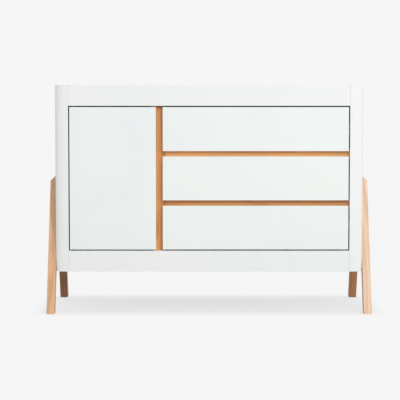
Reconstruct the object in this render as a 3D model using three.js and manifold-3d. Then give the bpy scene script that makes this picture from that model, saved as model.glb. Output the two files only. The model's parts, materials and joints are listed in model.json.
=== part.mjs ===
// Baby dresser: a white lacquered carcass with one inset door and three inset drawers,
// opened by coved timber grips, and carried by four splayed timber legs outside its ends.
// Millimetres, +Z up. The front faces -Y. The origin is on the floor, under the middle.
import * as THREE from 'three';
import { mergeVertices } from 'three/addons/utils/BufferGeometryUtils.js';
import Module from 'manifold-3d';

const wasm = await Module();
wasm.setup();

// Carcass
const carcassWidth = 1236;
const carcassDepth = 450;
const floorClearance = 166;
const sideThickness = 54;
const sideNoseWidth = 52;
const sideNoseDepth = 26;
const sideRearRadius = 6;
const sideTopRadius = 5;
const sideFootRadius = 11;
const railHeight = 84;
const railJointWidth = 0.8;
const railJointDepth = 2;
const boardThickness = 18;
const backThickness = 6;

// Fronts: the shadow gap runs round them, the grip gaps lie between them
const frontThickness = 18;
const shadowGap = 5;
const doorWidth = 346;
const drawerCount = 3;
const drawerFrontHeight = 176;
const gripGapUpright = 27;
const gripGapLevel = 21.5;
const closingGap = 2;
const fingerBevelDepth = 10;
const fingerBevelWidth = 8;

// Timber grips, which stop the closed fronts from behind
const gripDepth = 32;
const coveDepth = 13;
const coveUndercut = 4;
const gripLapDoor = 24;
const gripLapDrawers = 6.5;
const gripLapLevel = 10.5;

// Legs
const legThickness = 32;
const legWidth = 40;
const legHeight = 549;
const legLean = 180;
const legTopBevel = 22;
const legEdgeRadius = 3;
const footOverhang = 48.5;

// Drawer boxes
const boxBoardThickness = 12;
const boxSideHeight = 130;
const boxRise = 22;
const boxBottomThickness = 5;
const bottomGrooveRise = 12;
const bottomGrooveDepth = 6;

// Telescopic runners: rolled steel members that run on rows of balls
const runnerThickness = 13;
const runnerHeight = 45;
const runnerLength = 400;
const runnerSetback = 2;
const runnerSheet = 1.2;
const runnerWebGap = 0.6;
const ballRadius = 2.2;
const ballSeatDepth = 0.3;
const ballCount = 4;
const ballPitch = 40;
const ballMargin = 24;
const raceLean = THREE.MathUtils.degToRad(56);
const raceShoulder = THREE.MathUtils.degToRad(45);
const raceLip = THREE.MathUtils.degToRad(70);

// Shelf and its pins
const shelfSetback = 12;
const shelfPlay = 1;
const shelfHeightShare = 0.5;
const shelfPinRadius = 2.5;
const shelfPinLength = 20;
const shelfPinInset = 45;
const shelfHolePitch = 32;
const shelfHolesEachWay = 1;

// Door pivots and catch
const pivotInset = 17;
const pivotPinRadius = 4;
const pivotPinInDoor = 25;
const pivotPinInRail = 11;
const pivotCollarRadius = 7;
const pivotBushRadius = 6;
const pivotBushLength = 13;
const pivotPlay = 0.2;
const catchRadius = 5;
const catchDepth = 6;
const catchHeightShare = 0.93;

// Clearances, cuts and facets
const seatGap = 0.3;
const overrun = 1;
const weldDistance = 0.001;
const roundSteps = 8;
const noseSteps = 10;
const coveSteps = 16;
const raceSteps = 5;
const cylinderSides = 24;
const pinSides = 12;
const ballSides = 6;
const ballBands = 4;

// Derived sizes
const drawerFrontWidth =
  carcassWidth - 2 * sideThickness - 2 * shadowGap - doorWidth - gripGapUpright;
const frontsHeight = drawerCount * drawerFrontHeight + (drawerCount - 1) * gripGapLevel;
const openingHeight = frontsHeight + 2 * shadowGap;
const carcassHeight = openingHeight + 2 * railHeight;
const railDepth = frontThickness + closingGap;
const drawerPitch = drawerFrontHeight + gripGapLevel;

// Places across the dresser
const sideOuterX = carcassWidth / 2;
const innerX = sideOuterX - sideThickness;
const doorLeftX = -innerX + shadowGap;
const doorRightX = doorLeftX + doorWidth;
const drawerLeftX = doorRightX + gripGapUpright;
const drawerRightX = drawerLeftX + drawerFrontWidth;
const gripLeftX = doorRightX - gripLapDoor;
const gripRightX = drawerLeftX + gripLapDrawers;
const dividerLeftX = gripRightX - boardThickness;

// Places from front to back
const frontY = -carcassDepth / 2;
const frontBackY = frontY + frontThickness;
const gripFrontY = frontY + railDepth;
const gripBackY = gripFrontY + gripDepth;
const backPanelY = carcassDepth / 2 - backThickness;
const runnerFrontY = gripFrontY + runnerSetback;
const runnerBackY = runnerFrontY + runnerLength;

// Places in height
const openingBottomZ = floorClearance + railHeight;
const openingTopZ = openingBottomZ + openingHeight;
const carcassTopZ = floorClearance + carcassHeight;
const topPanelZ = carcassTopZ - boardThickness;
const bottomPanelZ = openingBottomZ - boardThickness;
const frontsBottomZ = openingBottomZ + shadowGap;
const frontsTopZ = frontsBottomZ + frontsHeight;
const shelfZ = openingBottomZ + openingHeight * shelfHeightShare;

// Finishes
const finish = (color, roughness, metalness = 0) =>
  new THREE.MeshStandardMaterial({ color, roughness, metalness });
const whiteLacquer = finish(0xf1f4f3, 0.4);
const legTimber = finish(0xd9a877, 0.55);
const gripTimber = finish(0xd59a66, 0.55);
const boxBoard = finish(0xe9e6df, 0.6);
const whiteBackBoard = finish(0xecece8, 0.7);
const zincSteel = finish(0xb4b7ba, 0.35, 0.9);
const nylon = finish(0xe4e4e0, 0.5);
const magnetSteel = finish(0x8d9094, 0.3, 1);

// A named piece of the dresser
function piece(name, geometry, material, [x, y, z] = [0, 0, 0]) {
  const mesh = new THREE.Mesh(geometry, material);
  mesh.name = name;
  mesh.position.set(x, y, z);
  return mesh;
}

// A square-edged board between two opposite corners
function board(name, low, high, material) {
  const size = high.map((value, axis) => value - low[axis]);
  const centre = high.map((value, axis) => (value + low[axis]) / 2);
  return piece(name, new THREE.BoxGeometry(...size), material, centre);
}

// The same block as a loose geometry, for cutting
function block(low, high) {
  const size = high.map((value, axis) => value - low[axis]);
  const centre = high.map((value, axis) => (value + low[axis]) / 2);
  return new THREE.BoxGeometry(...size).translate(...centre);
}

// An upright cylinder standing on z = base
function uprightCylinder(radius, height, x, y, base) {
  return new THREE.CylinderGeometry(radius, radius, height, cylinderSides)
    .rotateX(Math.PI / 2)
    .translate(x, y, base + height / 2);
}

// A geometry as a solid that can be cut and joined
function solidOf(geometry) {
  const bare = geometry.clone();
  bare.deleteAttribute('normal');
  bare.deleteAttribute('uv');
  const welded = mergeVertices(bare, weldDistance);
  return new wasm.Manifold(new wasm.Mesh({
    numProp: 3,
    vertProperties: new Float32Array(welded.attributes.position.array),
    triVerts: new Uint32Array(welded.index.array),
  }));
}

function geometryOf(solid) {
  const mesh = solid.getMesh();
  const geometry = new THREE.BufferGeometry();
  geometry.setAttribute('position', new THREE.BufferAttribute(mesh.vertProperties, 3));
  geometry.setIndex(new THREE.BufferAttribute(mesh.triVerts, 1));
  const shaded = geometry.toNonIndexed();
  shaded.computeVertexNormals();
  return shaded;
}

const cut = (geometry, ...tools) =>
  geometryOf(tools.reduce((left, tool) => left.subtract(solidOf(tool)), solidOf(geometry)));
const joined = (geometry, ...others) =>
  geometryOf(others.reduce((left, other) => left.add(solidOf(other)), solidOf(geometry)));
const common = (first, second) => geometryOf(solidOf(first).intersect(solidOf(second)));

// The points of one rounded corner of an outline
function roundedCorner(before, here, after, radius) {
  const toBefore = before.clone().sub(here).normalize();
  const toAfter = after.clone().sub(here).normalize();
  const halfAngle = toBefore.angleTo(toAfter) / 2;
  const middle = toBefore.clone().add(toAfter).normalize();
  const start = here.clone().addScaledVector(toBefore, radius / Math.tan(halfAngle));
  const centre = here.clone().addScaledVector(middle, radius / Math.sin(halfAngle));
  const turn = Math.sign(toAfter.cross(toBefore)) * (Math.PI - 2 * halfAngle);
  return Array.from({ length: roundSteps + 1 }, (_, step) =>
    start.clone().rotateAround(centre, (turn * step) / roundSteps));
}

// A closed outline through corners of [a, b, radius]; a corner without a radius is sharp
function outline(corners) {
  const points = corners.map(([a, b]) => new THREE.Vector2(a, b));
  const path = points.flatMap((here, i) => {
    const radius = corners[i][2] ?? 0;
    const before = points.at(i - 1);
    const after = points[(i + 1) % points.length];
    return radius > 0 ? roundedCorner(before, here, after, radius) : [here];
  });
  return new THREE.Shape(path);
}

// An outline drawn in (a, b) and pushed along the third axis from 0 to length
const prism = (shape, length) =>
  new THREE.ExtrudeGeometry(shape, { depth: length, bevelEnabled: false });

// Side panels: a soft nose of a quarter ellipse in front, small rounds behind, above and below
function sidePanel(name, hand) {
  const inner = hand * innerX;
  const outer = hand * sideOuterX;
  const nose = Array.from({ length: noseSteps + 1 }, (_, step) => {
    const angle = (Math.PI / 2) * (step / noseSteps);
    const fromOuter = sideNoseWidth * (1 - Math.sin(angle));
    return [outer - hand * fromOuter, frontY + sideNoseDepth * (1 - Math.cos(angle))];
  });
  const plan = outline([
    [inner, frontY],
    ...nose,
    [outer, carcassDepth / 2, sideRearRadius],
    [inner, carcassDepth / 2],
  ]);
  const elevation = outline([
    [0, inner],
    [0, outer, sideFootRadius],
    [carcassHeight, outer, sideTopRadius],
    [carcassHeight, inner],
  ]);
  const upright = prism(plan, carcassHeight).translate(0, 0, floorClearance);
  const across = prism(elevation, carcassDepth);
  across.applyMatrix4(new THREE.Matrix4().makeBasis(
    new THREE.Vector3(0, 0, 1), new THREE.Vector3(1, 0, 0), new THREE.Vector3(0, 1, 0)));
  across.translate(0, frontY, floorClearance);
  const panel = common(upright, across);
  const drilled = hand < 0 ? cut(panel, ...shelfPinHoles(-innerX, -1)) : panel;
  return piece(name, drilled, whiteLacquer);
}

// Shelf pins stand in rows of holes in the side panel and the divider and carry the shelf
const shelfFrontY = gripBackY + shelfSetback;
const shelfPinY = [shelfFrontY + shelfPinInset, backPanelY - shelfPinInset];
const shelfPinZ = shelfZ - shelfPinRadius - seatGap;

function shelfPinRod(radius, length, middleX, y, z = shelfPinZ) {
  return new THREE.CylinderGeometry(radius, radius, length, pinSides)
    .rotateZ(Math.PI / 2)
    .translate(middleX, y, z);
}

// Holes run half a pin deep into the wall at wallX, whose body lies on the given side
function shelfPinHoles(wallX, side) {
  const depth = shelfPinLength / 2 + seatGap;
  const middle = wallX + (side * (depth - overrun)) / 2;
  const heights = Array.from({ length: 2 * shelfHolesEachWay + 1 },
    (_, i) => shelfPinZ + (i - shelfHolesEachWay) * shelfHolePitch);
  return shelfPinY.flatMap((y) => heights.map((z) =>
    shelfPinRod(shelfPinRadius + seatGap, depth + overrun, middle, y, z)));
}

function shelfPins() {
  const walls = { left: -innerX, right: dividerLeftX };
  const ends = ['front', 'rear'];
  return Object.entries(walls).flatMap(([wall, x]) => shelfPinY.map((y, i) => piece(
    `shelf_pin_${wall}_${ends[i]}`, shelfPinRod(shelfPinRadius, shelfPinLength, x, y), zincSteel)));
}

// The pivot axis of the door, in its middle plane and close to its left edge
const pivotX = doorLeftX + pivotInset;
const pivotY = frontY + frontThickness / 2;
const pivotCollar = (shadowGap - seatGap) / 2;

// Everything at a pivot is turned from one profile of [radius, height above the door's edge]
function turned(profile, edgeZ, up) {
  const points = profile.map(([radius, height]) => new THREE.Vector2(radius, up * height));
  const ordered = up > 0 ? points : points.reverse();
  return new THREE.LatheGeometry(ordered, cylinderSides)
    .rotateX(Math.PI / 2)
    .translate(pivotX, pivotY, edgeZ);
}

function pivotPin(name, edgeZ, up) {
  const profile = [
    [0, -pivotPinInDoor],
    [pivotPinRadius, -pivotPinInDoor],
    [pivotPinRadius, 0],
    [pivotCollarRadius, 0],
    [pivotCollarRadius, pivotCollar],
    [pivotPinRadius, pivotCollar],
    [pivotPinRadius, shadowGap + pivotPinInRail],
    [0, shadowGap + pivotPinInRail],
  ];
  return piece(name, turned(profile, edgeZ, up), zincSteel);
}

function pivotBush(name, edgeZ, up) {
  const bore = pivotPinRadius + pivotPlay;
  const profile = [
    [bore, pivotCollar + seatGap],
    [pivotCollarRadius, pivotCollar + seatGap],
    [pivotCollarRadius, shadowGap],
    [pivotBushRadius, shadowGap],
    [pivotBushRadius, shadowGap + pivotBushLength],
    [bore, shadowGap + pivotBushLength],
    [bore, pivotCollar + seatGap],
  ];
  return piece(name, turned(profile, edgeZ, up), nylon);
}

// Carcass boards between the side panels; the rails cover their front edges, and each rail
// is set back at its ends, which leaves a fine open joint against the side panels
function frontRail(name, low, pivotEdgeZ, up) {
  const jointX = innerX - railJointWidth;
  const jointY = frontY + railJointDepth;
  const backY = frontY + railDepth;
  const plan = outline([
    [-jointX, frontY],
    [jointX, frontY],
    [jointX, jointY],
    [innerX, jointY],
    [innerX, backY],
    [-innerX, backY],
    [-innerX, jointY],
    [-jointX, jointY],
  ]);
  const rail = prism(plan, railHeight).translate(0, 0, low);
  const depth = pivotBushLength + seatGap;
  const start = up > 0 ? pivotEdgeZ - overrun : pivotEdgeZ - depth;
  const hole = uprightCylinder(
    pivotBushRadius + seatGap, depth + overrun, pivotX, pivotY, start);
  return piece(name, cut(rail, hole), whiteLacquer);
}

function divider() {
  const panel = block(
    [dividerLeftX, gripBackY, openingBottomZ], [gripRightX, backPanelY, topPanelZ]);
  return piece('divider_panel', cut(panel, ...shelfPinHoles(dividerLeftX, 1)), whiteLacquer);
}

function carcass() {
  return [
    sidePanel('side_panel_left', -1),
    sidePanel('side_panel_right', 1),
    board('top_panel',
      [-innerX, gripFrontY, topPanelZ], [innerX, backPanelY, carcassTopZ], whiteLacquer),
    board('bottom_panel',
      [-innerX, gripFrontY, bottomPanelZ], [innerX, backPanelY, openingBottomZ], whiteLacquer),
    board('back_panel',
      [-innerX, backPanelY, floorClearance], [innerX, carcassDepth / 2, carcassTopZ],
      whiteBackBoard),
    frontRail('top_front_rail', openingTopZ, openingTopZ, 1),
    frontRail('bottom_front_rail', floorClearance, openingBottomZ, -1),
    divider(),
    board('shelf',
      [-innerX + shelfPlay, shelfFrontY, shelfZ],
      [dividerLeftX - shelfPlay, backPanelY - shelfPlay, shelfZ + boardThickness], whiteLacquer),
  ];
}

// A grip strip: a cove of half an ellipse runs along its front, drawn across and into the strip
function gripOutline(low, high, coveCentre, coveHalfWidth) {
  const cove = Array.from({ length: coveSteps + 1 }, (_, step) => {
    const angle = (Math.PI * step) / coveSteps;
    return [coveCentre - coveHalfWidth * Math.cos(angle), coveDepth * Math.sin(angle)];
  });
  return outline([[low, 0], ...cove, [high, 0], [high, gripDepth], [low, gripDepth]]);
}

const catchX = (gripLeftX + doorRightX - fingerBevelWidth) / 2;
const catchZ = frontsBottomZ + frontsHeight * catchHeightShare;
const catchProud = (closingGap - seatGap) / 2;

function catchDisc(radius, depth, frontFace) {
  return new THREE.CylinderGeometry(radius, radius, depth, cylinderSides)
    .translate(catchX, frontFace + depth / 2, catchZ);
}

// The upright grip stands on the bottom panel, behind the door's and the drawers' edges
function uprightGrip() {
  const centre = (doorRightX + drawerLeftX) / 2;
  const shape = gripOutline(gripLeftX, gripRightX, centre, gripGapUpright / 2 + coveUndercut);
  const strip = prism(shape, topPanelZ - openingBottomZ).translate(0, gripFrontY, openingBottomZ);
  const pocketDepth = catchDepth - catchProud + seatGap;
  const pocket = catchDisc(catchRadius + seatGap, pocketDepth + overrun, gripFrontY - overrun);
  return piece('upright_grip', cut(strip, pocket), gripTimber);
}

// A level grip runs from the upright grip to the side panel, behind one gap between drawers
function levelGrip(name, gapCentreZ) {
  const half = gripGapLevel / 2 + gripLapLevel;
  const shape = gripOutline(-half, half, 0, gripGapLevel / 2 + coveUndercut);
  const grip = piece(
    name, prism(shape, innerX - gripRightX), gripTimber, [innerX, gripFrontY, gapCentreZ]);
  grip.rotation.y = -Math.PI / 2;
  return grip;
}

function grips() {
  const names = ['level_grip_lower', 'level_grip_upper'];
  const level = names.map((name, i) =>
    levelGrip(name, frontsBottomZ + (i + 1) * drawerPitch - gripGapLevel / 2));
  const magnet = piece('catch_magnet',
    catchDisc(catchRadius, catchDepth, gripFrontY - catchProud), magnetSteel);
  return [uprightGrip(), ...level, magnet];
}

// A leg leans in the plane of the side panel, with its top bevelled on the outside.
// hand is -1 on the left and 1 on the right, end is -1 at the front and 1 at the rear.
function leg(name, hand, end) {
  const footY = end * (carcassDepth / 2 + footOverhang);
  const radius = legEdgeRadius;
  const slanted = new THREE.Shape([
    new THREE.Vector2(footY, 0),
    new THREE.Vector2(footY - end * legWidth, 0),
    new THREE.Vector2(footY - end * (legWidth + legLean), legHeight),
    new THREE.Vector2(footY - end * legLean, legHeight),
  ]);
  const shaft = new THREE.ExtrudeGeometry(slanted, {
    depth: legThickness - 2 * radius,
    bevelThickness: radius,
    bevelSize: radius,
    bevelOffset: -radius,
    bevelSegments: 2,
  });
  const acrossAxes = new THREE.Matrix4().makeBasis(
    new THREE.Vector3(0, 1, 0), new THREE.Vector3(0, 0, 1), new THREE.Vector3(1, 0, 0));
  const inner = hand * sideOuterX;
  shaft.applyMatrix4(acrossAxes);
  shaft.translate(hand > 0 ? inner + radius : inner - legThickness + radius, 0, 0);
  const outer = inner + hand * legThickness;
  const bevel = prism(outline([
    [legHeight - legTopBevel - overrun, outer + hand * overrun],
    [legHeight + overrun, outer - hand * (legTopBevel + overrun)],
    [legHeight + overrun, outer + hand * overrun],
  ]), carcassDepth);
  bevel.applyMatrix4(new THREE.Matrix4().makeBasis(
    new THREE.Vector3(0, 0, 1), new THREE.Vector3(1, 0, 0), new THREE.Vector3(0, 1, 0)));
  bevel.translate(0, frontY, 0);
  return piece(name, cut(shaft, bevel), legTimber);
}

function legs() {
  const hands = { left: -1, right: 1 };
  const ends = { front: -1, rear: 1 };
  return Object.entries(ends).flatMap(([endName, end]) =>
    Object.entries(hands).map(([handName, hand]) =>
      leg(`leg_${endName}_${handName}`, hand, end)));
}

// A front is drawn across and into the board; a grip edge is bevelled behind, for the fingers
function frontOutline(width, bevelLow, bevelHigh) {
  const corners = [[0, 0], [width, 0]];
  if (bevelHigh) {
    corners.push([width, frontThickness - fingerBevelDepth]);
    corners.push([width - fingerBevelWidth, frontThickness]);
  } else {
    corners.push([width, frontThickness]);
  }
  if (bevelLow) {
    corners.push([fingerBevelWidth, frontThickness]);
    corners.push([0, frontThickness - fingerBevelDepth]);
  } else {
    corners.push([0, frontThickness]);
  }
  return outline(corners);
}

// Door, with its two pivot pins and the strike plate of its catch
function door() {
  const leaf = prism(frontOutline(doorWidth, false, true), frontsHeight)
    .translate(doorLeftX, frontY, frontsBottomZ);
  const holeDepth = pivotPinInDoor + seatGap;
  const hole = (base) => uprightCylinder(
    pivotPinRadius + seatGap, holeDepth + overrun, pivotX, pivotY, base);
  const drilled = cut(leaf, hole(frontsBottomZ - overrun), hole(frontsTopZ - holeDepth));
  const group = new THREE.Group();
  group.add(
    piece('door_panel', drilled, whiteLacquer),
    pivotPin('door_pivot_pin_lower', frontsBottomZ, -1),
    pivotPin('door_pivot_pin_upper', frontsTopZ, 1),
    piece('door_strike_plate', catchDisc(catchRadius, catchProud, frontBackY), zincSteel),
  );
  return group;
}

// Runner sections, drawn in (height, distance from the cabinet wall). The cabinet member and
// the drawer member run round the balls; the middle member holds them in its two races.
const halfSheet = runnerSheet / 2;
const openRace = ballRadius + seatGap + halfSheet;
const heldRace = ballRadius - ballSeatDepth + halfSheet;
const middleWeb = runnerSheet + runnerWebGap + halfSheet;
const drawerWeb = runnerThickness - halfSheet;
const raceSpread = 2 * heldRace * Math.sin(raceLean);
const raceReach = (heldRace + openRace) * Math.sin(raceShoulder) + raceSpread;
const shoulderWidth = (drawerWeb - middleWeb - raceReach) / 2;
const outerBall = new THREE.Vector2(
  runnerHeight / 2 - halfSheet - openRace,
  middleWeb + shoulderWidth + heldRace * Math.sin(raceShoulder));
const innerBall = new THREE.Vector2(
  outerBall.x - 2 * heldRace * Math.cos(raceLean), outerBall.y + raceSpread);

// A stretch of sheet round a ball; angles run from straight up towards the drawer
function race(ball, radius, from, to) {
  return Array.from({ length: raceSteps + 1 }, (_, step) => {
    const angle = from + ((to - from) * step) / raceSteps;
    return new THREE.Vector2(Math.cos(angle), Math.sin(angle)).multiplyScalar(radius).add(ball);
  });
}

// The middle line of a section: a web at the given distance, and the same flange at both edges
function sectionLine(web, flange) {
  const corner = new THREE.Vector2(flange[0].x, web);
  const upper = [corner, ...flange];
  const lower = upper.map((point) => new THREE.Vector2(-point.x, point.y)).reverse();
  return [...lower, ...upper];
}

const cabinetLine = sectionLine(halfSheet, race(outerBall, openRace, -raceShoulder, raceLip));
const middleLine = sectionLine(middleWeb, [
  ...race(outerBall, heldRace, Math.PI + raceShoulder, Math.PI - raceLean),
  ...race(innerBall, heldRace, -raceLean, raceLip).slice(1),
]);
const drawerLine = sectionLine(drawerWeb,
  race(innerBall, openRace, Math.PI - raceShoulder, Math.PI + raceLip));

// A line widened to the sheet, with mitred bends
function rolledSheet(line) {
  const edge = (side) => line.map((here, i) => {
    const before = line[i - 1] ?? here.clone().multiplyScalar(2).sub(line[i + 1]);
    const after = line[i + 1] ?? here.clone().multiplyScalar(2).sub(before);
    const into = here.clone().sub(before).normalize();
    const along = after.clone().sub(here).normalize().add(into).normalize();
    const reach = (side * halfSheet) / along.dot(into);
    return new THREE.Vector2(-along.y, along.x).multiplyScalar(reach).add(here);
  });
  return new THREE.Shape([...edge(1), ...edge(-1).reverse()]);
}

// Balls sit in the half of the middle member that stays inside its neighbour when it slides
function balls(away) {
  const rows = [
    [outerBall, runnerLength - ballMargin, -ballPitch],
    [innerBall, ballMargin, ballPitch],
  ];
  return rows.flatMap(([ball, first, step]) => [-1, 1].flatMap((up) =>
    Array.from({ length: ballCount }, (_, i) =>
      new THREE.SphereGeometry(ballRadius, ballSides, ballBands)
        .rotateZ(Math.PI / 2)
        .translate(up * ball.x, away * ball.y, first + i * step))));
}

// A runner member lies along Y on the wall at wallX; away is the direction off that wall
function runnerMember(name, line, wallX, away, middleZ) {
  const turnedLine = line.map((point) => new THREE.Vector2(point.x, away * point.y));
  const bare = prism(rolledSheet(turnedLine), runnerLength);
  const member = line === middleLine ? joined(bare, ...balls(away)) : bare;
  member.applyMatrix4(new THREE.Matrix4().makeBasis(
    new THREE.Vector3(0, 0, 1), new THREE.Vector3(1, 0, 0), new THREE.Vector3(0, 1, 0)));
  return piece(name, member, zincSteel, [wallX, runnerFrontY, middleZ]);
}

// A drawer: its front, four-board box and two runners. The group stands at the front's foot.
const boxLeftX = gripRightX + runnerThickness;
const boxRightX = innerX - runnerThickness;

function drawer(name, gripBelow, gripAbove) {
  const boxInnerLeftX = boxLeftX + boxBoardThickness;
  const boxInnerRightX = boxRightX - boxBoardThickness;
  const boxTopZ = boxRise + boxSideHeight;
  const grooveZ = boxRise + bottomGrooveRise;
  const grooveTopZ = grooveZ + boxBottomThickness;
  const bottomLeftX = boxInnerLeftX - bottomGrooveDepth + seatGap;
  const bottomRightX = boxInnerRightX + bottomGrooveDepth - seatGap;

  // Grooves are open by a seat gap above and below the bottom board
  const groove = (leftX, rightX, frontEdgeY, backEdgeY) => block(
    [leftX, frontEdgeY, grooveZ - seatGap], [rightX, backEdgeY, grooveTopZ + seatGap]);

  const face = prism(frontOutline(drawerFrontHeight, gripBelow, gripAbove), drawerFrontWidth)
    .rotateY(-Math.PI / 2)
    .translate(drawerRightX, frontY, 0);
  const faceGroove = groove(
    bottomLeftX - seatGap, bottomRightX + seatGap, frontBackY - bottomGrooveDepth,
    frontBackY + overrun);
  const side = (outerX, innerFaceX, grooveFloorX) => {
    const [leftX, rightX] = [outerX, innerFaceX].sort((a, b) => a - b);
    const wall = block([leftX, frontBackY, boxRise], [rightX, runnerBackY, boxTopZ]);
    const into = Math.sign(innerFaceX - outerX) * overrun;
    const [low, high] = [grooveFloorX, innerFaceX + into].sort((a, b) => a - b);
    return cut(wall, groove(low, high, frontBackY - overrun, runnerBackY + overrun));
  };

  const group = new THREE.Group();
  group.add(
    piece(`${name}_front`, cut(face, faceGroove), whiteLacquer),
    piece(`${name}_side_left`,
      side(boxLeftX, boxInnerLeftX, boxInnerLeftX - bottomGrooveDepth), boxBoard),
    piece(`${name}_side_right`,
      side(boxRightX, boxInnerRightX, boxInnerRightX + bottomGrooveDepth), boxBoard),
    board(`${name}_back`,
      [boxInnerLeftX, runnerBackY - boxBoardThickness, grooveTopZ],
      [boxInnerRightX, runnerBackY, boxTopZ], boxBoard),
    board(`${name}_bottom`,
      [bottomLeftX, frontBackY - bottomGrooveDepth + seatGap, grooveZ],
      [bottomRightX, runnerBackY, grooveTopZ], boxBoard),
  );

  const runnerZ = boxRise + boxSideHeight / 2;
  const walls = { left: [gripRightX, 1], right: [innerX, -1] };
  for (const [hand, [wallX, away]] of Object.entries(walls)) {
    group.add(
      runnerMember(`${name}_cabinet_runner_${hand}`, cabinetLine, wallX, away, runnerZ),
      runnerMember(`${name}_middle_runner_${hand}`, middleLine, wallX, away, runnerZ),
      runnerMember(`${name}_drawer_runner_${hand}`, drawerLine, wallX, away, runnerZ),
    );
  }
  return group;
}

function drawers() {
  const names = ['drawer_bottom', 'drawer_middle', 'drawer_top'];
  return names.map((name, i) => {
    const group = drawer(name, i > 0, i < drawerCount - 1);
    group.position.z = frontsBottomZ + i * drawerPitch;
    return group;
  });
}

const dresser = new THREE.Group();
dresser.add(
  ...carcass(),
  ...grips(),
  ...shelfPins(),
  ...legs(),
  pivotBush('door_pivot_bush_lower', frontsBottomZ, -1),
  pivotBush('door_pivot_bush_upper', frontsTopZ, 1),
  door(),
  ...drawers(),
);

export default dresser;
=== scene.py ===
# Baby dresser: white lacquered boards, coved timber grips and splayed timber legs.
import json
import math

import bmesh
import bpy
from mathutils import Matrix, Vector

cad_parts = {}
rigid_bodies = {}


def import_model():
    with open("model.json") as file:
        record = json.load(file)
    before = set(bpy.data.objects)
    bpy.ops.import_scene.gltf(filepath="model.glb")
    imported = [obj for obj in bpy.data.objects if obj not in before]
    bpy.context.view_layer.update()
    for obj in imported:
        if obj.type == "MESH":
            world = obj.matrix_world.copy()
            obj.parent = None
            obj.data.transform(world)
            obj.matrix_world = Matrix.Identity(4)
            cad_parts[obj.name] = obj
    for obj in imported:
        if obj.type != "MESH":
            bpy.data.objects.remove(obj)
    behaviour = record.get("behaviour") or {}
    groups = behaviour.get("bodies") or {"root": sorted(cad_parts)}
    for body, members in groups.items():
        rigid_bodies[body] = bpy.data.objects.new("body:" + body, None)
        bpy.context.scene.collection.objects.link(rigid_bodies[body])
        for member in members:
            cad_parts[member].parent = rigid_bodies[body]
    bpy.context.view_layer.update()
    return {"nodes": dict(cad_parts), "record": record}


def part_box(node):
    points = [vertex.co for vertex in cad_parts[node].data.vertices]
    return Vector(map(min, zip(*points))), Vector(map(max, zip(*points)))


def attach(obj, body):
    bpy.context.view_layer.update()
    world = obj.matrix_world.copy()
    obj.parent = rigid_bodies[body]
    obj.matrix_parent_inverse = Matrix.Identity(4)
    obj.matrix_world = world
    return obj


for leftover in list(bpy.data.objects):
    bpy.data.objects.remove(leftover)

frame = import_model()
nodes = frame["nodes"]
mm = 0.001
print("dresser loaded:", len(nodes), "pieces")


# Camera: straight at the front from child's eye height, a little left of the middle
cameraSetup = {
    "position": (-36.5 * mm, -5263.4 * mm, 743.0 * mm),
    "pitchDown": math.radians(3.279),
    "lens": 113.27,
    "sensor": 36.0,
}


def makeCamera():
    data = bpy.data.cameras.new("photoCamera")
    data.lens = cameraSetup["lens"]
    data.sensor_width = cameraSetup["sensor"]
    camera = bpy.data.objects.new("photoCamera", data)
    camera.location = cameraSetup["position"]
    camera.rotation_euler = (math.pi / 2 - cameraSetup["pitchDown"], 0, 0)
    bpy.context.scene.collection.objects.link(camera)
    bpy.context.scene.camera = camera


makeCamera()
print("camera placed")


# Shader helpers: a value can be a number, a colour, a vector or another node's socket
def feed(tree, socket, value):
    if isinstance(value, bpy.types.NodeSocket):
        tree.links.new(value, socket)
    else:
        socket.default_value = value


def addNode(tree, kind, inputs=None, **settings):
    node = tree.nodes.new(kind)
    for key, value in settings.items():
        setattr(node, key, value)
    for key, value in (inputs or {}).items():
        feed(tree, node.inputs[key], value)
    return node


def calc(tree, operation, first, second=0.0, third=0.0):
    node = addNode(tree, "ShaderNodeMath", {0: first, 1: second, 2: third}, operation=operation)
    return node.outputs[0]


def vectorCalc(tree, operation, first, second=(0.0, 0.0, 0.0)):
    node = addNode(tree, "ShaderNodeVectorMath", {0: first, 1: second}, operation=operation)
    return node.outputs["Value" if operation in ("DOT_PRODUCT", "LENGTH") else "Vector"]


def vectorScale(tree, vector, scale):
    node = addNode(tree, "ShaderNodeVectorMath", {0: vector, "Scale": scale}, operation="SCALE")
    return node.outputs["Vector"]


def noise(tree, vector, scale, detail=2.0, roughness=0.5):
    node = addNode(tree, "ShaderNodeTexNoise", {
        "Vector": vector, "Scale": scale, "Detail": detail, "Roughness": roughness})
    return node.outputs["Fac"]


def remap(tree, value, fromLow, fromHigh, toLow=0.0, toHigh=1.0):
    node = addNode(tree, "ShaderNodeMapRange", {
        "Value": value, "From Min": fromLow, "From Max": fromHigh,
        "To Min": toLow, "To Max": toHigh}, interpolation_type="SMOOTHSTEP")
    return node.outputs["Result"]


def mixColor(tree, factor, first, second, blend="MIX"):
    node = addNode(tree, "ShaderNodeMix", data_type="RGBA", blend_type=blend)
    feed(tree, node.inputs["Factor"], factor)
    feed(tree, node.inputs[6], first)
    feed(tree, node.inputs[7], second)
    return node.outputs[2]


def newGroup(name, inputs, outputs):
    group = bpy.data.node_groups.new(name, "ShaderNodeTree")
    for label, kind, value in inputs:
        socket = group.interface.new_socket(label, in_out="INPUT", socket_type=kind)
        if value is not None:
            socket.default_value = value
    for label, kind in outputs:
        group.interface.new_socket(label, in_out="OUTPUT", socket_type=kind)
    return group, group.nodes.new("NodeGroupInput").outputs, group.nodes.new("NodeGroupOutput").inputs


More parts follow.
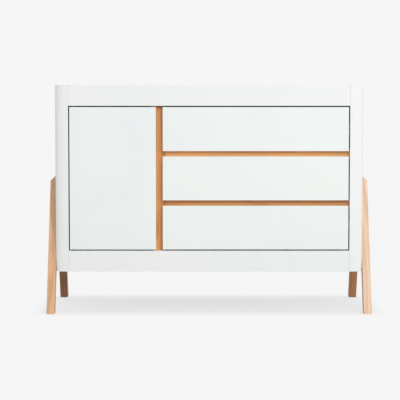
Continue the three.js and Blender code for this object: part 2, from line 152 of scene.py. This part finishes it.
# Timber grain for any direction: growth rings round a pith line, fibres and small flecks.
# A stretch is how much slower a pattern runs along the grain than across it.
grainPattern = {
    "wander": {"stretch": 0.09, "scale": 14.0, "reach": 30 * mm},
    "ringRise": (0.2, 0.86),
    "ringDrop": (0.9, 1.0),
    "fibres": {"stretch": 0.018, "scale": 850.0, "detail": 3.0, "roughness": 0.6,
               "edges": (0.32, 0.7)},
    "flecks": {"stretch": 0.14, "scale": 460.0, "detail": 1.0, "edges": (0.66, 0.76)},
    "drift": {"stretch": 0.2, "scale": 9.0, "edges": (0.3, 0.7), "tones": (0.93, 1.05)},
    "ringHeightShare": 0.35,
}


def makeWoodGrain():
    group, given, result = newGroup("woodGrain", [
        ("Vector", "NodeSocketVector", None),
        ("Direction", "NodeSocketVector", (0.0, 0.0, 1.0)),
        ("Pith", "NodeSocketVector", (0.0, 0.0, 0.0)),
        ("Light", "NodeSocketColor", None),
        ("Dark", "NodeSocketColor", None),
        ("Ring Width", "NodeSocketFloat", 0.004),
        ("Ring Strength", "NodeSocketFloat", 0.4),
        ("Fibre Strength", "NodeSocketFloat", 0.3),
        ("Fleck Strength", "NodeSocketFloat", 0.3),
    ], [
        ("Color", "NodeSocketColor"),
        ("Late Wood", "NodeSocketFloat"),
        ("Height", "NodeSocketFloat"),
    ])
    along = vectorCalc(group, "DOT_PRODUCT", given["Vector"], given["Direction"])
    alongVector = vectorScale(group, given["Direction"], along)
    across = vectorCalc(group, "SUBTRACT", given["Vector"], alongVector)

    def streaks(values):
        stretched = vectorScale(group, alongVector, values["stretch"])
        place = vectorCalc(group, "ADD", across, stretched)
        return noise(
            group, place, values["scale"], values.get("detail", 2.0), values.get("roughness", 0.5))

    wander = calc(group, "SUBTRACT", streaks(grainPattern["wander"]), 0.5)
    radius = vectorCalc(group, "LENGTH", vectorCalc(group, "SUBTRACT", across, given["Pith"]))
    bent = calc(group, "MULTIPLY_ADD", wander, grainPattern["wander"]["reach"], radius)
    ring = calc(group, "FRACT", calc(group, "DIVIDE", bent, given["Ring Width"]))
    rise = remap(group, ring, *grainPattern["ringRise"])
    drop = remap(group, ring, *grainPattern["ringDrop"], 1.0, 0.0)
    late = calc(group, "MULTIPLY", rise, drop)
    fibres = streaks(grainPattern["fibres"])
    fibreMask = remap(group, fibres, *grainPattern["fibres"]["edges"])
    flecks = remap(group, streaks(grainPattern["flecks"]), *grainPattern["flecks"]["edges"])
    slow = grainPattern["drift"]
    drift = remap(group, streaks(slow), *slow["edges"], *slow["tones"])

    rings = mixColor(
        group, calc(group, "MULTIPLY", late, given["Ring Strength"]), given["Light"], given["Dark"])
    fibred = mixColor(
        group, calc(group, "MULTIPLY", fibreMask, given["Fibre Strength"]), rings, given["Dark"])
    flecked = mixColor(
        group, calc(group, "MULTIPLY", flecks, given["Fleck Strength"]), fibred, given["Dark"])
    toned = vectorScale(group, flecked, drift)
    feed(group, result["Color"], toned)
    feed(group, result["Late Wood"], late)
    height = calc(group, "MULTIPLY_ADD", late, grainPattern["ringHeightShare"], fibres)
    feed(group, result["Height"], height)
    return group


# Slow drift of tone, a fine skin and brush marks along one direction, for made surfaces
filmPattern = {"driftDetail": 3.0, "driftEdges": (0.35, 0.65), "skinDetail": 2.0, "skinRoughness": 0.6}


def makeSurfaceFilm():
    group, given, result = newGroup("surfaceFilm", [
        ("Vector", "NodeSocketVector", None),
        ("Color", "NodeSocketColor", None),
        ("Shade", "NodeSocketColor", None),
        ("Drift Scale", "NodeSocketFloat", 3.0),
        ("Skin Scale", "NodeSocketFloat", 900.0),
        ("Brush", "NodeSocketVector", (1.0, 1.0, 1.0)),
        ("Roughness", "NodeSocketFloat", 0.4),
        ("Roughness Spread", "NodeSocketFloat", 0.05),
    ], [
        ("Color", "NodeSocketColor"),
        ("Roughness", "NodeSocketFloat"),
        ("Height", "NodeSocketFloat"),
    ])
    clouds = noise(group, given["Vector"], given["Drift Scale"], filmPattern["driftDetail"])
    drift = remap(group, clouds, *filmPattern["driftEdges"])
    brushed = vectorCalc(group, "MULTIPLY", given["Vector"], given["Brush"])
    skin = noise(
        group, brushed, given["Skin Scale"], filmPattern["skinDetail"], filmPattern["skinRoughness"])
    feed(group, result["Color"], mixColor(group, drift, given["Color"], given["Shade"]))
    spread = calc(group, "MULTIPLY", calc(group, "SUBTRACT", skin, 0.5), given["Roughness Spread"])
    feed(group, result["Roughness"], calc(group, "ADD", given["Roughness"], spread))
    feed(group, result["Height"], skin)
    return group


woodGrain = makeWoodGrain()
surfaceFilm = makeSurfaceFilm()
print("grain and film built")


def srgb(red, green, blue):
    def linear(value):
        share = value / 255
        return share / 12.92 if share <= 0.04045 else ((share + 0.055) / 1.055) ** 2.4
    return (linear(red), linear(green), linear(blue), 1.0)


def newMaterial(name):
    material = bpy.data.materials.new(name)
    material.use_nodes = True
    tree = material.node_tree
    return material, tree, tree.nodes["Principled BSDF"]


def objectVector(tree):
    return tree.nodes.new("ShaderNodeTexCoord").outputs["Object"]


def addBump(tree, shader, height, distance, strength=1.0):
    bump = addNode(tree, "ShaderNodeBump", {
        "Height": height, "Distance": distance, "Strength": strength})
    tree.links.new(bump.outputs["Normal"], shader.inputs["Normal"])


# Finishes made from a film: lacquer, boards, metal and plastic
filmFinishes = {
    "carcassLacquer": {
        "color": (240, 242, 240), "shade": (237, 240, 238), "drift": 2.2, "skin": 420.0,
        "roughness": 0.36, "spread": 0.06, "bump": 0.02, "brush": (1, 1, 1),
        "metallic": 0.0, "specular": 0.5, "coat": 0.15},
    "frontLacquer": {
        "color": (239, 244, 241), "shade": (236, 240, 240), "drift": 2.6, "skin": 420.0,
        "roughness": 0.34, "spread": 0.06, "bump": 0.02, "brush": (1, 1, 1),
        "metallic": 0.0, "specular": 0.5, "coat": 0.15},
    "drawerBoard": {
        "color": (236, 234, 229), "shade": (231, 229, 223), "drift": 5.0, "skin": 1500.0,
        "roughness": 0.55, "spread": 0.12, "bump": 0.05, "brush": (1, 0.12, 1),
        "metallic": 0.0, "specular": 0.4, "coat": 0.0},
    "backBoard": {
        "color": (236, 236, 232), "shade": (234, 234, 230), "drift": 4.0, "skin": 900.0,
        "roughness": 0.68, "spread": 0.16, "bump": 0.06, "brush": (1, 1, 1),
        "metallic": 0.0, "specular": 0.35, "coat": 0.0},
    "zincSteel": {
        "color": (190, 194, 198), "shade": (172, 176, 181), "drift": 26.0, "skin": 2200.0,
        "roughness": 0.34, "spread": 0.22, "bump": 0.03, "brush": (1, 0.03, 1),
        "metallic": 1.0, "specular": 0.5, "coat": 0.0},
    # Painted shade: the next two finishes are darkened steel and nylon for the door's pins and bushes,
    # which sit in shaded gaps
    "shadeDarkenedSteel": {
        "color": (104, 106, 108), "shade": (94, 96, 98), "drift": 30.0, "skin": 2200.0,
        "roughness": 0.5, "spread": 0.14, "bump": 0.02, "brush": (1, 1, 0.05),
        "metallic": 1.0, "specular": 0.5, "coat": 0.0},
    "shadeDarkenedNylon": {
        "color": (92, 93, 93), "shade": (84, 85, 85), "drift": 30.0, "skin": 1800.0,
        "roughness": 0.5, "spread": 0.1, "bump": 0.03, "brush": (1, 1, 1),
        "metallic": 0.0, "specular": 0.4, "coat": 0.0},
    "capPlastic": {
        "color": (232, 232, 228), "shade": (227, 227, 222), "drift": 30.0, "skin": 1800.0,
        "roughness": 0.45, "spread": 0.1, "bump": 0.03, "brush": (1, 1, 1),
        "metallic": 0.0, "specular": 0.45, "coat": 0.0},
    "magnetPlate": {
        "color": (150, 153, 158), "shade": (132, 135, 140), "drift": 40.0, "skin": 2600.0,
        "roughness": 0.26, "spread": 0.2, "bump": 0.02, "brush": (1, 1, 1),
        "metallic": 1.0, "specular": 0.5, "coat": 0.0},
}


def makeFilmFinish(name, values):
    material, tree, shader = newMaterial(name)
    film = addNode(tree, "ShaderNodeGroup", node_tree=surfaceFilm)
    feed(tree, film.inputs["Vector"], objectVector(tree))
    feed(tree, film.inputs["Color"], srgb(*values["color"]))
    feed(tree, film.inputs["Shade"], srgb(*values["shade"]))
    feed(tree, film.inputs["Drift Scale"], values["drift"])
    feed(tree, film.inputs["Skin Scale"], values["skin"])
    feed(tree, film.inputs["Brush"], values["brush"])
    feed(tree, film.inputs["Roughness"], values["roughness"])
    feed(tree, film.inputs["Roughness Spread"], values["spread"])
    tree.links.new(film.outputs["Color"], shader.inputs["Base Color"])
    tree.links.new(film.outputs["Roughness"], shader.inputs["Roughness"])
    shader.inputs["Metallic"].default_value = values["metallic"]
    shader.inputs["Specular IOR Level"].default_value = values["specular"]
    shader.inputs["Coat Weight"].default_value = values["coat"]
    addBump(tree, shader, film.outputs["Height"], values["bump"] * mm)
    return material


# Timber: how each kind of piece is figured
timberKinds = {
    "leg": {
        "ringWidth": 5.5 * mm, "ringStrength": 0.55, "fibreStrength": 0.35,
        "fleckStrength": 0.4, "roughness": 0.5, "lateWoodRoughness": -0.08, "bump": 0.08},
    "grip": {
        "ringWidth": 4.2 * mm, "ringStrength": 0.6, "fibreStrength": 0.4,
        "fleckStrength": 0.35, "roughness": 0.48, "lateWoodRoughness": -0.08, "bump": 0.08},
}


# The fine dark line where a level grip butts against the upright one: partly the joint itself, partly
# painted shade standing in for a gap the pieces don't have
gripJointAndPaintedShade = {"tone": (96, 56, 28), "width": 1.5 * mm, "fade": 0.9 * mm, "strength": 0.8}


def drawJointAndPaintedShade(tree, color, end):
    place = addNode(tree, "ShaderNodeSeparateXYZ", {"Vector": objectVector(tree)})
    width = gripJointAndPaintedShade["width"]
    line = remap(
        tree, calc(tree, "SUBTRACT", place.outputs["X"], end),
        width, width + gripJointAndPaintedShade["fade"], gripJointAndPaintedShade["strength"], 0.0)
    return mixColor(tree, line, color, srgb(*gripJointAndPaintedShade["tone"]))


def makeTimber(node, tones, direction, pith):
    values = timberKinds[tones["kind"]]
    material, tree, shader = newMaterial("timber." + node)
    grain = addNode(tree, "ShaderNodeGroup", node_tree=woodGrain)
    feed(tree, grain.inputs["Vector"], objectVector(tree))
    feed(tree, grain.inputs["Direction"], Vector(direction).normalized())
    feed(tree, grain.inputs["Pith"], pith)
    feed(tree, grain.inputs["Light"], srgb(*tones["light"]))
    feed(tree, grain.inputs["Dark"], srgb(*tones["dark"]))
    feed(tree, grain.inputs["Ring Width"], values["ringWidth"])
    feed(tree, grain.inputs["Ring Strength"], values["ringStrength"])
    feed(tree, grain.inputs["Fibre Strength"], values["fibreStrength"])
    feed(tree, grain.inputs["Fleck Strength"], values["fleckStrength"])
    color = grain.outputs["Color"]
    # A level grip gets its dark end line here, partly joint and partly painted shade
    if tones.get("joint"):
        color = drawJointAndPaintedShade(tree, color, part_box(node)[0].x)
    tree.links.new(color, shader.inputs["Base Color"])
    rough = calc(
        tree, "MULTIPLY_ADD", grain.outputs["Late Wood"], values["lateWoodRoughness"],
        values["roughness"])
    tree.links.new(rough, shader.inputs["Roughness"])
    addBump(tree, shader, grain.outputs["Height"], values["bump"] * mm)
    return material


finishes = {name: makeFilmFinish(name, values) for name, values in filmFinishes.items()}


# A leg leans from its foot towards the middle of the dresser
legWidth = 40 * mm


def legDirection(node):
    low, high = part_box(node)
    towardsMiddle = 1 if low.y + high.y < 0 else -1
    return (0.0, towardsMiddle * (high.y - low.y - legWidth), high.z - low.z)


# Every timber piece has its own plank; the front right leg's palest tone is painted light from the
# right, and the rear legs' deeper tones are painted shade under the carcass
legPlanksWithPaintedLightAndShade = {
    "leg_front_left": {
        "kind": "leg", "light": (227, 184, 145), "dark": (197, 143, 98), "pithShift": 31 * mm},
    "leg_front_right": {
        "kind": "leg", "light": (236, 206, 180), "dark": (211, 169, 135), "pithShift": -47 * mm},
    "leg_rear_left": {
        "kind": "leg", "light": (190, 136, 93), "dark": (152, 98, 58), "pithShift": 58 * mm},
    "leg_rear_right": {
        "kind": "leg", "light": (198, 143, 98), "dark": (161, 103, 60), "pithShift": -39 * mm},
}
legPith = {"depth": 0.12, "height": 0.05}  # the middle of a leg's growth rings, in metres
gripPlanks = {
    "upright_grip": {
        "kind": "grip", "light": (234, 176, 112), "dark": (203, 131, 67),
        "direction": (0, 0, 1), "pith": (-0.25, -0.09, 0)},
    "level_grip_lower": {
        "kind": "grip", "light": (234, 180, 122), "dark": (204, 136, 79),
        "direction": (1, 0, 0), "pith": (0, -0.12, 0.40), "joint": True},
    "level_grip_upper": {
        "kind": "grip", "light": (248, 202, 144), "dark": (226, 162, 104),
        "direction": (1, 0, 0), "pith": (0, -0.1, 0.70), "joint": True},
}

# The door's pins and bushes show in the open gaps, where the photograph has nothing bright
# Their dark steel and nylon are painted shade: the pins and bushes are darkened to the shade of those
# gaps
for end in ("lower", "upper"):
    finishes["door_pivot_pin_" + end] = finishes["shadeDarkenedSteel"]
    finishes["door_pivot_bush_" + end] = finishes["shadeDarkenedNylon"]
for node, plank in legPlanksWithPaintedLightAndShade.items():
    pith = (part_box(node)[0].x + plank["pithShift"], legPith["depth"], legPith["height"])
    finishes[node] = makeTimber(node, plank, legDirection(node), pith)
for node, plank in gripPlanks.items():
    finishes[node] = makeTimber(node, plank, plank["direction"], plank["pith"])

# The finish of every piece that has none of its own, by its slot
slotFinish = {
    "white_lacquer": "carcassLacquer",
    "front_lacquer": "frontLacquer",
    "drawer_board": "drawerBoard",
    "back_board": "backBoard",
    "runner_steel": "zincSteel",
    "pivot_nylon": "capPlastic",
    "magnet": "magnetPlate",
}


# Every made piece gets its finish and a small rounding on its edges, in millimetres
edgeRounding = {
    "white_lacquer": 1.0,
    "front_lacquer": 0.9,
    "leg_timber": 0.8,
    "grip_timber": 0.6,
    "drawer_board": 0.5,
    "back_board": 0.4,
    "runner_steel": 0.15,
    "pivot_nylon": 0.2,
    "magnet": 0.3,
}


# Doubled points are welded and flat faces joined before the corners are rounded
edgeWork = {"weld": 0.002 * mm, "flat": math.radians(0.5), "corner": math.radians(30), "segments": 2}


def roundEdges(piece, width):
    for name in ("custom_normal", "sharp_edge", "sharp_face"):
        attribute = piece.data.attributes.get(name)
        if attribute:
            piece.data.attributes.remove(attribute)
    weld = piece.modifiers.new("weld", "WELD")
    weld.merge_threshold = edgeWork["weld"]
    flat = piece.modifiers.new("flat", "DECIMATE")
    flat.decimate_type = "DISSOLVE"
    flat.angle_limit = edgeWork["flat"]
    bevel = piece.modifiers.new("edges", "BEVEL")
    bevel.width = width * mm
    bevel.segments = edgeWork["segments"]
    bevel.limit_method = "ANGLE"
    bevel.angle_limit = edgeWork["corner"]
    normals = piece.modifiers.new("normals", "WEIGHTED_NORMAL")
    normals.keep_sharp = False


for part in frame["record"]["subparts"]:
    piece = nodes[part["node"]]
    slot = part["material_slot"]
    finish = finishes.get(part["node"]) or finishes[slotFinish[slot]]
    piece.data.materials.clear()
    piece.data.materials.append(finish)
    roundEdges(piece, edgeRounding[slot])
print("finishes and edges done")


# Small fittings: heads, covers and cams, each made of rings round its own axis, in millimetres
fittingSides = 24
fittingSharpAngle = math.radians(35)
crossArm = {"halfAngle": math.radians(20), "waistShare": 0.42}
fittingKinds = {
    "boltHead": {"rings": [(7.5, 0.0), (7.5, 0.9), (6.6, 1.7)], "recess": ("hexagon", 2.6, 1.3)},
    "screwHead": {"rings": [(3.5, 0.0), (3.2, 0.7), (2.2, 1.1)], "recess": ("cross", 1.6, 0.7)},
    "panHead": {"rings": [(3.4, 0.0), (3.3, 1.0), (2.3, 1.7)], "recess": ("cross", 1.7, 1.0)},
    "camCover": {"rings": [(8.5, 0.0), (8.5, 0.6), (7.9, 1.1)], "recess": ("round", 5.6, 0.25)},
    "frontCam": {"rings": [(5.5, 0.0), (5.5, 0.3), (5.2, 0.5)], "recess": ("cross", 3.1, 0.4)},
    "bumper": {"rings": [(4.0, 0.0), (4.0, 0.8), (3.0, 1.5)], "recess": ("round", 1.2, 0.2)},
}


def recessRadius(shape, size, angle):
    if shape == "hexagon":
        fromFlat = (angle + math.pi / 6) % (math.pi / 3) - math.pi / 6
        return size / math.cos(fromFlat)
    if shape == "cross":
        fromArm = (angle + math.pi / 4) % (math.pi / 2) - math.pi / 4
        return size if abs(fromArm) < crossArm["halfAngle"] else size * crossArm["waistShare"]
    return size


def addFitting(mesh, kind, place, facing):
    rings = fittingKinds[kind]["rings"]
    shape, size, depth = fittingKinds[kind]["recess"]
    turn = Vector((0, 0, 1)).rotation_difference(Vector(facing)).to_matrix()

    def ring(height, radiusAt):
        angles = [2 * math.pi * step / fittingSides for step in range(fittingSides)]
        return [mesh.verts.new(Vector(place) + turn @ Vector((
            radiusAt(angle) * math.cos(angle), radiusAt(angle) * math.sin(angle), height)) * mm)
            for angle in angles]

    loops = [ring(height, lambda angle: radius) for radius, height in rings]
    for height in (rings[-1][1], rings[-1][1] - depth):
        loops.append(ring(height, lambda angle: recessRadius(shape, size, angle)))
    for lower, upper in zip(loops, loops[1:]):
        for step in range(fittingSides):
            following = (step + 1) % fittingSides
            mesh.faces.new((lower[step], lower[following], upper[following], upper[step]))
    mesh.faces.new(list(reversed(loops[0])))
    mesh.faces.new(loops[-1])


def makeFittings(name, kind, body, slot, seats):
    mesh = bmesh.new()
    for place, facing in seats:
        addFitting(mesh, kind, place, facing)
    data = bpy.data.meshes.new(name)
    mesh.to_mesh(data)
    mesh.free()
    for face in data.polygons:
        face.use_smooth = True
    data.set_sharp_from_angle(angle=fittingSharpAngle)
    data.materials.append(finishes[slotFinish[slot]])
    piece = bpy.data.objects.new(name, data)
    bpy.context.scene.collection.objects.link(piece)
    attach(piece, body)


# Bolts that hold the legs, seen inside on the side panels
legBolts = {"heights": (300 * mm, 500 * mm)}


def legBoltSeats():
    seats = []
    for node in legPlanksWithPaintedLightAndShade:
        low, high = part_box(node)
        lean = legDirection(node)
        foot = low.y + legWidth / 2 if lean[1] > 0 else high.y - legWidth / 2
        side = "side_panel_left" if low.x < 0 else "side_panel_right"
        inward = 1 if low.x < 0 else -1
        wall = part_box(side)[1].x if inward > 0 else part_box(side)[0].x
        for height in legBolts["heights"]:
            seats.append(((wall, foot + lean[1] * height / lean[2], height), (inward, 0, 0)))
    return seats


# Covers over the cam fittings that join the boards
camCovers = {"fromEnd": 34 * mm, "depths": (-120 * mm, 135 * mm)}


def camCoverSeats():
    seats = []
    for node in ("top_panel", "bottom_panel"):
        low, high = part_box(node)
        for across in (low.x + camCovers["fromEnd"], high.x - camCovers["fromEnd"]):
            seats += [((across, depth, low.z), (0, 0, -1)) for depth in camCovers["depths"]]
    low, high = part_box("divider_panel")
    for height in (low.z + camCovers["fromEnd"], high.z - camCovers["fromEnd"]):
        seats += [((low.x, depth, height), (-1, 0, 0)) for depth in camCovers["depths"]]
    return seats


# Screws through the back panel into the top board, the bottom board and the divider
backScrews = {"boardCount": 7, "fromEdge": 24 * mm, "dividerShares": (0.2, 0.5, 0.8)}


def backScrewSeats():
    low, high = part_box("back_panel")
    first = low.x + backScrews["fromEdge"]
    step = (high.x - low.x - 2 * backScrews["fromEdge"]) / (backScrews["boardCount"] - 1)
    places = []
    for node in ("top_panel", "bottom_panel"):
        height = sum(corner.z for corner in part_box(node)) / 2
        places += [(first + step * i, height) for i in range(backScrews["boardCount"])]
    dividerLow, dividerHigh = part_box("divider_panel")
    middle = (dividerLow.x + dividerHigh.x) / 2
    rise = dividerHigh.z - dividerLow.z
    places += [(middle, dividerLow.z + rise * share) for share in backScrews["dividerShares"]]
    return [((across, high.y, height), (0, 1, 0)) for across, height in places]


# Soft bumpers on the back of the door, where it meets the upright grip
doorBumpers = {"shares": (0.1, 0.5), "fingerBevel": 8 * mm}


def doorBumperSeats():
    low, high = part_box("door_panel")
    across = (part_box("upright_grip")[0].x + high.x - doorBumpers["fingerBevel"]) / 2
    rise = high.z - low.z
    return [((across, high.y, low.z + rise * share), (0, 1, 0)) for share in doorBumpers["shares"]]


# Each drawer: cams that hold the front, and screws in its two runner members
drawerFittings = {
    "camBack": 20 * mm,
    "camHeights": (40 * mm, 105 * mm),
    "screwShares": (0.09, 0.5, 0.9),
    "memberSheet": 1.2 * mm,
}


def drawerCamSeats(drawer):
    seats = []
    for hand, facing in (("left", 1), ("right", -1)):
        low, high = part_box(f"{drawer}_side_{hand}")
        wall = high.x if facing > 0 else low.x
        depth = low.y + drawerFittings["camBack"]
        seats += [((wall, depth, low.z + height), (facing, 0, 0))
                  for height in drawerFittings["camHeights"]]
    return seats


def runnerScrewSeats(drawer):
    seats = []
    for hand, facing in (("left", -1), ("right", 1)):
        low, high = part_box(f"{drawer}_drawer_runner_{hand}")
        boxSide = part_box(f"{drawer}_side_{hand}")
        sheet = drawerFittings["memberSheet"]
        web = boxSide[0].x - sheet if facing < 0 else boxSide[1].x + sheet
        height = (low.z + high.z) / 2
        seats += [((web, low.y + (high.y - low.y) * share, height), (facing, 0, 0))
                  for share in drawerFittings["screwShares"]]
    return seats


makeFittings("legBolts", "boltHead", "cabinet", "runner_steel", legBoltSeats())
makeFittings("camCovers", "camCover", "cabinet", "pivot_nylon", camCoverSeats())
makeFittings("backScrews", "screwHead", "cabinet", "runner_steel", backScrewSeats())
makeFittings("doorBumpers", "bumper", "door", "pivot_nylon", doorBumperSeats())
for level in ("bottom", "middle", "top"):
    drawer = "drawer_" + level
    body = level + "_drawer"
    makeFittings(level + "DrawerCams", "frontCam", body, "runner_steel", drawerCamSeats(drawer))
    makeFittings(
        level + "RunnerScrews", "panHead", body, "runner_steel", runnerScrewSeats(drawer))
print("fittings made")


# Studio: a pale floor that runs out of sight, an even sky and two soft lamps on the right, kept
# out of reflections so that the white boards never show them as glare
studio = {
    "floorHalfWidth": 40.0,
    "background": 0.922,
    "floorSeen": 0.8,
    "floorBounce": 0.25,
    "floorRoughness": 0.9,
    "shadowShare": 0.3,
    "farShare": 0.02,
    "shadowReach": (0.63, 0.22),
    "shadowFade": (0.11, 0.13),
    "skyStrength": 0.85,
    "lampAim": (0.0, 0.0, 0.5),
}
lamps = {
    "frontLamp": {"position": (1.53, -5.92, 2.72), "size": 2.6, "power": 188.0},
    "sideLamp": {"position": (4.33, -0.76, 1.44), "size": 1.6, "power": 12.0},
}


def seenDirectly(tree):
    path = tree.nodes.new("ShaderNodeLightPath")
    direct = calc(tree, "MAXIMUM", path.outputs["Is Camera Ray"], path.outputs["Is Glossy Ray"])
    return calc(tree, "MAXIMUM", direct, path.outputs["Is Transmission Ray"])


def makeWorld():
    world = bpy.data.worlds.new("studioSky")
    bpy.context.scene.world = world
    world.use_nodes = True
    tree = world.node_tree
    background = tree.nodes["Background"]
    background.inputs["Color"].default_value = (1.0, 1.0, 1.0, 1.0)
    level = addNode(tree, "ShaderNodeMix", {"Factor": seenDirectly(tree)}, data_type="FLOAT")
    level.inputs[2].default_value = studio["skyStrength"]
    level.inputs[3].default_value = studio["background"]
    tree.links.new(level.outputs[0], background.inputs["Strength"])


def makeFloor():
    half = studio["floorHalfWidth"]
    mesh = bpy.data.meshes.new("floor")
    corners = [(-half, -half, 0), (half, -half, 0), (half, half, 0), (-half, half, 0)]
    mesh.from_pydata(corners, [], [(0, 1, 2, 3)])
    floor = bpy.data.objects.new("floor", mesh)
    bpy.context.scene.collection.objects.link(floor)
    material, tree, shader = newMaterial("paleFloor")
    seen = seenDirectly(tree)
    tone = addNode(tree, "ShaderNodeMix", {"Factor": seen}, data_type="FLOAT")
    tone.inputs[2].default_value = studio["floorBounce"]
    tone.inputs[3].default_value = studio["floorSeen"]
    tree.links.new(tone.outputs[0], shader.inputs["Base Color"])
    shader.inputs["Roughness"].default_value = studio["floorRoughness"]
    shader.inputs["Specular IOR Level"].default_value = 0.0
    glow = addNode(tree, "ShaderNodeEmission", {
        "Color": (1.0, 1.0, 1.0, 1.0), "Strength": studio["background"]})
    place = addNode(tree, "ShaderNodeSeparateXYZ", {"Vector": objectVector(tree)})
    near = calc(tree, "MULTIPLY", *(
        remap(tree, calc(tree, "ABSOLUTE", place.outputs[axis]), reach, reach + fade, 1.0, 0.0)
        for axis, reach, fade in zip("XY", studio["shadowReach"], studio["shadowFade"])))
    diffuseShare = remap(tree, near, 0.0, 1.0, studio["farShare"], studio["shadowShare"])
    share = calc(tree, "MULTIPLY", seen, calc(tree, "SUBTRACT", 1.0, diffuseShare))
    mix = addNode(tree, "ShaderNodeMixShader", {
        0: share, 1: shader.outputs[0], 2: glow.outputs[0]})
    tree.links.new(mix.outputs[0], tree.nodes["Material Output"].inputs["Surface"])
    mesh.materials.append(material)


def makeLamp(name, values):
    data = bpy.data.lights.new(name, "AREA")
    data.energy = values["power"]
    data.size = values["size"]
    lamp = bpy.data.objects.new(name, data)
    lamp.location = values["position"]
    lamp.visible_glossy = False
    aim = Vector(studio["lampAim"]) - lamp.location
    lamp.rotation_euler = aim.to_track_quat("-Z", "Y").to_euler()
    bpy.context.scene.collection.objects.link(lamp)


makeWorld()
makeFloor()
for name, values in lamps.items():
    makeLamp(name, values)
bpy.context.scene.view_settings.view_transform = "Standard"
print("studio lit")
